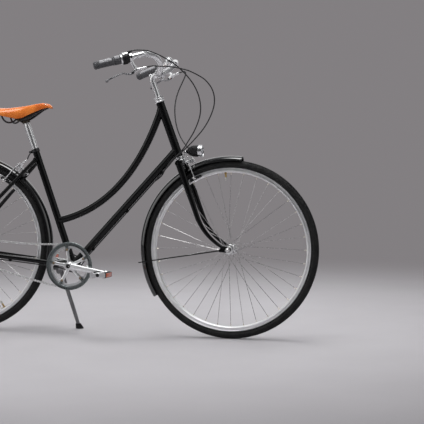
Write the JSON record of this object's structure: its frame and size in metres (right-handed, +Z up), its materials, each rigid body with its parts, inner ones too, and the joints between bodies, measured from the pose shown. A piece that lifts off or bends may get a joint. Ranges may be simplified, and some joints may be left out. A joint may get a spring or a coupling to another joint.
{
  "type": "city bicycle",
  "caption": "Step-through city bicycle with a curved frame tube, rim brakes, mudguards, a leather saddle, a lamp, a bell and a side stand.",
  "frame": {"origin": "middle of the object's bounding box, on the floor that the tyres and the stand rest on", "axes": "+X towards the front wheel, +Y to the rider's left, +Z up; the bicycle leans 2.5 degrees towards +Y onto its side stand"},
  "size_m": [1.805, 0.6206, 1.1186],
  "materials": {
    "black_paint": "gloss black enamel",
    "polished_silver": "polished",
    "brushed_steel": "satin",
    "spring_steel": "black, half gloss",
    "tyre_rubber": "matt black",
    "grip_rubber": "matt dark grey",
    "black_plastic": "matt black",
    "chrome": "mirror",
    "lamp_glass": "clear, fluted",
    "tan_leather": "honey brown, half gloss",
    "cable_black": "black, half gloss"
  },
  "bodies": {
    "frame": {"frame": "black_paint", "lower_headset_cup": "polished_silver", "upper_headset_cup": "polished_silver", "bottom_bracket_bearing": "brushed_steel", "seat_clamp": "spring_steel", "rear_fender": "black_paint", "rear_fender_stays": "black_paint", "rear_axle": "brushed_steel", "chain": "brushed_steel", "rear_brake_bolt": "polished_silver", "rear_brake_cable": "cable_black", "shift_cable": "cable_black", "kickstand_bracket": "brushed_steel"},
    "seat": {"seat_post": "polished_silver", "saddle_clamp": "spring_steel", "saddle_rails": "spring_steel", "saddle_leather": "tan_leather"},
    "kickstand": {"kickstand_leg": "brushed_steel", "kickstand_foot": "tyre_rubber"},
    "steering": {"fork": "black_paint", "stem": "polished_silver", "handlebar": "polished_silver", "grip_right": "grip_rubber", "grip_left": "grip_rubber", "shifter_body": "black_plastic", "lever_body_right": "polished_silver", "lever_body_left": "polished_silver", "front_fender": "black_paint", "front_fender_stays": "black_paint", "front_axle": "brushed_steel", "headlight_bracket": "polished_silver", "bell": "chrome", "front_brake_cable": "cable_black"},
    "headlight": {"headlight_shell": "black_plastic", "headlight_lens": "lamp_glass"},
    "bell_lever": {"bell_lever": "polished_silver"},
    "twist_grip": {"shifter_twist_grip": "grip_rubber"},
    "brake_lever_right": {"brake_lever_right": "polished_silver"},
    "brake_lever_left": {"brake_lever_left": "polished_silver"},
    "front_arm_right": {"front_brake_arm_right": "polished_silver", "front_brake_pad_right": "tyre_rubber"},
    "front_arm_left": {"front_brake_arm_left": "polished_silver", "front_brake_pad_left": "tyre_rubber"},
    "rear_arm_right": {"rear_brake_arm_right": "polished_silver", "rear_brake_pad_right": "tyre_rubber"},
    "rear_arm_left": {"rear_brake_arm_left": "polished_silver", "rear_brake_pad_left": "tyre_rubber"},
    "front_wheel": {"front_hub": "polished_silver", "front_rim": "brushed_steel", "front_tyre": "tyre_rubber"},
    "rear_wheel": {"rear_hub": "polished_silver", "rear_rim": "brushed_steel", "rear_tyre": "tyre_rubber"},
    "sprocket": {"rear_sprocket": "brushed_steel"},
    "crank": {"crank_right": "polished_silver", "crank_left": "polished_silver", "chainring": "brushed_steel", "chain_guard_ring": "polished_silver"},
    "pedal_right": {"pedal_right": "grip_rubber"},
    "pedal_left": {"pedal_left": "grip_rubber"}
  },
  "joints": [
    {"name": "steering_turn", "type": "hinge", "parent": "frame", "child": "steering", "pos_m": [0.34856, -0.01513, 0.69283], "axis": [-0.3502, 0.0409, 0.9358], "range_deg": [-60, 60], "deforming": ["rear_brake_cable", "shift_cable"]},
    {"name": "front_wheel_spin", "type": "hinge", "parent": "steering", "child": "front_wheel", "pos_m": [0.5555, -0.03024, 0.34669], "axis": [0, 0.999, -0.0436], "continuous": true},
    {"name": "rear_wheel_spin", "type": "hinge", "parent": "frame", "child": "rear_wheel", "pos_m": [-0.5385, -0.03024, 0.34669], "axis": [0, 0.999, -0.0436], "continuous": true},
    {"name": "crank_spin", "type": "hinge", "parent": "frame", "child": "crank", "pos_m": [-0.0875, -0.0336, 0.26976], "axis": [0, 0.999, -0.0436], "continuous": true},
    {"name": "sprocket_spin", "type": "hinge", "parent": "frame", "child": "sprocket", "pos_m": [-0.5385, -0.03024, 0.34669], "axis": [0, 0.999, -0.0436], "continuous": true},
    {"name": "pedal_right_spin", "type": "hinge", "parent": "crank", "child": "pedal_right", "pos_m": [0.07053, -0.03469, 0.24476], "axis": [0, 0.999, -0.0436], "continuous": true},
    {"name": "pedal_left_spin", "type": "hinge", "parent": "crank", "child": "pedal_left", "pos_m": [-0.24553, -0.03251, 0.29477], "axis": [0, 0.999, -0.0436], "continuous": true},
    {"name": "brake_lever_right_pull", "type": "hinge", "parent": "steering", "child": "brake_lever_right", "pos_m": [0.22117, -0.23204, 1.029], "axis": [-0.4464, 0.894, -0.039], "range_deg": [0, 22], "stiffness_Nm_per_rad": 1.5, "springref_deg": -5.73},
    {"name": "brake_lever_left_pull", "type": "hinge", "parent": "steering", "child": "brake_lever_left", "pos_m": [0.24252, 0.21988, 1.01563], "axis": [0.4464, 0.894, -0.039], "range_deg": [0, 22], "stiffness_Nm_per_rad": 1.5, "springref_deg": -5.73},
    {"name": "shifter_twist", "type": "hinge", "parent": "steering", "child": "twist_grip", "pos_m": [0.15577, -0.26284, 1.07146], "axis": [0.8647, 0.4422, 0.2382], "range_deg": [0, 90]},
    {"name": "front_arm_right_close", "type": "hinge", "parent": "steering", "child": "front_arm_right", "pos_m": [0.35504, -0.01589, 0.67551], "axis": [0.9367, 0.0153, 0.3499], "range_deg": [0, 1.8]},
    {"name": "front_arm_left_close", "type": "hinge", "parent": "steering", "child": "front_arm_left", "pos_m": [0.35504, -0.01589, 0.67551], "axis": [-0.9367, -0.0153, -0.3499], "range_deg": [0, 1.8]},
    {"name": "rear_arm_right_close", "type": "hinge", "parent": "frame", "child": "rear_arm_right", "pos_m": [-0.2928, -0.01754, 0.63761], "axis": [0.7262, -0.03, -0.6868], "range_deg": [0, 1.8]},
    {"name": "rear_arm_left_close", "type": "hinge", "parent": "frame", "child": "rear_arm_left", "pos_m": [-0.2928, -0.01754, 0.63761], "axis": [-0.7262, 0.03, 0.6868], "range_deg": [0, 1.8]},
    {"name": "seat_post_height", "type": "slide", "parent": "frame", "child": "seat", "axis": [-0.3371, 0.0411, 0.9406], "range_m": [-0.05, 0.04]},
    {"name": "kickstand_fold", "type": "hinge", "parent": "frame", "child": "kickstand", "pos_m": [-0.1535, -0.00051, 0.2483], "axis": [0.1526, 0.9341, 0.3227], "range_deg": [0, 95]},
    {"name": "headlight_tilt", "type": "hinge", "parent": "steering", "child": "headlight", "pos_m": [0.36949, -0.0138, 0.72334], "axis": [0, 0.999, -0.0436], "range_deg": [-20, 6]},
    {"name": "bell_lever_push", "type": "hinge", "parent": "steering", "child": "bell_lever", "pos_m": [0.25936, 0.14477, 1.08559], "axis": [0, 0.0436, 0.999], "range_deg": [0, 18], "stiffness_Nm_per_rad": 0.02, "springref_deg": -5.73}
  ],
  "couplings": [
    {"joint": "sprocket_spin", "follows": "crank_spin", "ratio": 2.2},
    {"joint": "front_arm_right_close", "follows": "brake_lever_left_pull", "ratio": 0.072},
    {"joint": "rear_arm_right_close", "follows": "brake_lever_right_pull", "ratio": 0.072},
    {"joint": "front_arm_left_close", "follows": "brake_lever_left_pull", "ratio": 0.072},
    {"joint": "rear_arm_left_close", "follows": "brake_lever_right_pull", "ratio": 0.072}
  ]
}
